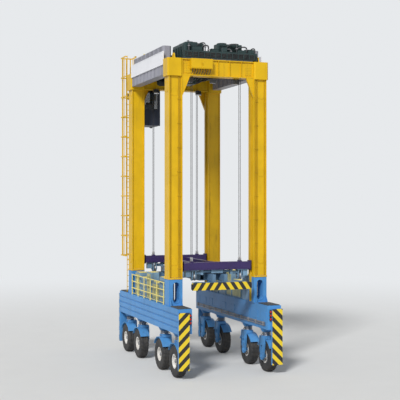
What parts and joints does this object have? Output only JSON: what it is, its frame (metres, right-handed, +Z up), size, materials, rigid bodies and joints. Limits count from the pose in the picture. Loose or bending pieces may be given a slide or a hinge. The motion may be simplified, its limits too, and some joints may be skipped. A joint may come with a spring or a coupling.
{
  "type": "straddle carrier",
  "caption": "Tall portal machine on eight steered wheels that straddles, lifts and stacks freight containers with a telescoping spreader.",
  "frame": {"origin": "on the ground under the middle of the chassis", "axes": "+X forward to the cab's end, +Y to the machine's left, +Z up"},
  "size_m": [10.2, 5.2, 16.174],
  "materials": {
    "blue_paint": "satin",
    "yellow_paint": "satin",
    "rail_paint": "satin",
    "cream_paint": "satin",
    "grey_paint": "satin",
    "hazard_paint": "satin",
    "white_sheet": "satin",
    "grating": "galvanised",
    "olive_paint": "satin",
    "dark_paint": "satin",
    "bare_steel": "matt",
    "lamp": "satin",
    "wire_rope": "greased",
    "cab_paint": "satin",
    "tinted_glass": "tinted",
    "seat_cloth": "woven",
    "console_plastic": "grained",
    "slate_paint": "satin",
    "violet_paint": "satin",
    "white_paint": "satin",
    "tyre_rubber": "matt"
  },
  "bodies": {
    "frame": {"chassis": "blue_paint", "side_rails": "cream_paint", "side_packs": "grey_paint", "hazard_panels": "hazard_paint", "legs": "yellow_paint", "guide_rails": "rail_paint", "cross_beams": "yellow_paint", "side_girders": "grey_paint", "sign_panels": "white_sheet", "top_deck": "grating", "deck_rails": "olive_paint", "engine_housings": "dark_paint", "cooler_pack": "dark_paint", "hoist_winches": "dark_paint", "under_gear": "dark_paint", "switch_cabinets": "dark_paint", "exhausts": "bare_steel", "lamps": "lamp", "hoist_ropes": "wire_rope", "ladder": "yellow_paint", "ladder_brackets": "yellow_paint", "ladder_cage": "yellow_paint", "cage_straps": "yellow_paint", "cab_frame": "cab_paint", "cab_floor": "cab_paint", "cab_roof": "cab_paint", "cab_glass": "tinted_glass", "cab_seat": "seat_cloth", "cab_console": "console_plastic"},
    "cab_door": {"cab_door": "cab_paint", "cab_door_glass": "tinted_glass"},
    "spreader": {"hoist_beams": "violet_paint", "hoist_gear": "slate_paint", "spreader_frame": "slate_paint"},
    "arm_front": {"spreader_arm_front": "hazard_paint"},
    "arm_rear": {"spreader_arm_rear": "hazard_paint"},
    "knuckle_fl_1": {"knuckle_fl_1": "blue_paint"},
    "wheel_fl_1": {"rim_fl_1": "white_paint", "tyre_fl_1": "tyre_rubber"},
    "knuckle_fl_2": {"knuckle_fl_2": "blue_paint"},
    "wheel_fl_2": {"rim_fl_2": "white_paint", "tyre_fl_2": "tyre_rubber"},
    "knuckle_rl_1": {"knuckle_rl_1": "blue_paint"},
    "wheel_rl_1": {"rim_rl_1": "white_paint", "tyre_rl_1": "tyre_rubber"},
    "knuckle_rl_2": {"knuckle_rl_2": "blue_paint"},
    "wheel_rl_2": {"rim_rl_2": "white_paint", "tyre_rl_2": "tyre_rubber"},
    "knuckle_fr_1": {"knuckle_fr_1": "blue_paint"},
    "wheel_fr_1": {"rim_fr_1": "white_paint", "tyre_fr_1": "tyre_rubber"},
    "knuckle_fr_2": {"knuckle_fr_2": "blue_paint"},
    "wheel_fr_2": {"rim_fr_2": "white_paint", "tyre_fr_2": "tyre_rubber"},
    "knuckle_rr_1": {"knuckle_rr_1": "blue_paint"},
    "wheel_rr_1": {"rim_rr_1": "white_paint", "tyre_rr_1": "tyre_rubber"},
    "knuckle_rr_2": {"knuckle_rr_2": "blue_paint"},
    "wheel_rr_2": {"rim_rr_2": "white_paint", "tyre_rr_2": "tyre_rubber"}
  },
  "joints": [
    {"name": "hoist", "type": "slide", "parent": "frame", "child": "spreader", "axis": [0, 0, 1], "range_m": [-1.4, 7.9], "deforming": ["hoist_ropes"]},
    {"name": "arm_front_telescope", "type": "slide", "parent": "spreader", "child": "arm_front", "axis": [1, 0, 0], "range_m": [-0.574, 2.49]},
    {"name": "arm_rear_telescope", "type": "slide", "parent": "spreader", "child": "arm_rear", "axis": [-1, 0, 0], "range_m": [-0.574, 2.49]},
    {"name": "cab_door_slide", "type": "slide", "parent": "frame", "child": "cab_door", "axis": [1, 0, 0], "range_m": [0, 0.6]},
    {"name": "steer_fl_1", "type": "hinge", "parent": "frame", "child": "knuckle_fl_1", "pos_m": [4.1, 2.22, 2], "axis": [0, 0, 1], "range_deg": [-35, 35]},
    {"name": "spin_fl_1", "type": "hinge", "parent": "knuckle_fl_1", "child": "wheel_fl_1", "pos_m": [4.1, 2.3, 0.75], "axis": [0, 1, 0], "continuous": true},
    {"name": "steer_fl_2", "type": "hinge", "parent": "frame", "child": "knuckle_fl_2", "pos_m": [1.85, 2.22, 2], "axis": [0, 0, 1], "range_deg": [-17.5, 17.5]},
    {"name": "spin_fl_2", "type": "hinge", "parent": "knuckle_fl_2", "child": "wheel_fl_2", "pos_m": [1.85, 2.3, 0.75], "axis": [0, 1, 0], "continuous": true},
    {"name": "steer_rl_1", "type": "hinge", "parent": "frame", "child": "knuckle_rl_1", "pos_m": [-4.1, 2.22, 2], "axis": [0, 0, 1], "range_deg": [-35, 35]},
    {"name": "spin_rl_1", "type": "hinge", "parent": "knuckle_rl_1", "child": "wheel_rl_1", "pos_m": [-4.1, 2.3, 0.75], "axis": [0, 1, 0], "continuous": true},
    {"name": "steer_rl_2", "type": "hinge", "parent": "frame", "child": "knuckle_rl_2", "pos_m": [-1.85, 2.22, 2], "axis": [0, 0, 1], "range_deg": [-17.5, 17.5]},
    {"name": "spin_rl_2", "type": "hinge", "parent": "knuckle_rl_2", "child": "wheel_rl_2", "pos_m": [-1.85, 2.3, 0.75], "axis": [0, 1, 0], "continuous": true},
    {"name": "steer_fr_1", "type": "hinge", "parent": "frame", "child": "knuckle_fr_1", "pos_m": [4.1, -2.22, 2], "axis": [0, 0, 1], "range_deg": [-35, 35]},
    {"name": "spin_fr_1", "type": "hinge", "parent": "knuckle_fr_1", "child": "wheel_fr_1", "pos_m": [4.1, -2.3, 0.75], "axis": [0, 1, 0], "continuous": true},
    {"name": "steer_fr_2", "type": "hinge", "parent": "frame", "child": "knuckle_fr_2", "pos_m": [1.85, -2.22, 2], "axis": [0, 0, 1], "range_deg": [-17.5, 17.5]},
    {"name": "spin_fr_2", "type": "hinge", "parent": "knuckle_fr_2", "child": "wheel_fr_2", "pos_m": [1.85, -2.3, 0.75], "axis": [0, 1, 0], "continuous": true},
    {"name": "steer_rr_1", "type": "hinge", "parent": "frame", "child": "knuckle_rr_1", "pos_m": [-4.1, -2.22, 2], "axis": [0, 0, 1], "range_deg": [-35, 35]},
    {"name": "spin_rr_1", "type": "hinge", "parent": "knuckle_rr_1", "child": "wheel_rr_1", "pos_m": [-4.1, -2.3, 0.75], "axis": [0, 1, 0], "continuous": true},
    {"name": "steer_rr_2", "type": "hinge", "parent": "frame", "child": "knuckle_rr_2", "pos_m": [-1.85, -2.22, 2], "axis": [0, 0, 1], "range_deg": [-17.5, 17.5]},
    {"name": "spin_rr_2", "type": "hinge", "parent": "knuckle_rr_2", "child": "wheel_rr_2", "pos_m": [-1.85, -2.3, 0.75], "axis": [0, 1, 0], "continuous": true}
  ],
  "couplings": [
    {"joint": "arm_rear_telescope", "follows": "arm_front_telescope", "ratio": 1},
    {"joint": "steer_fl_2", "follows": "steer_fl_1", "ratio": 0.5},
    {"joint": "steer_rl_1", "follows": "steer_fl_1", "ratio": -1},
    {"joint": "steer_rl_2", "follows": "steer_fl_1", "ratio": -0.5},
    {"joint": "steer_fr_1", "follows": "steer_fl_1", "ratio": 1},
    {"joint": "steer_fr_2", "follows": "steer_fl_1", "ratio": 0.5},
    {"joint": "steer_rr_1", "follows": "steer_fl_1", "ratio": -1},
    {"joint": "steer_rr_2", "follows": "steer_fl_1", "ratio": -0.5}
  ]
}
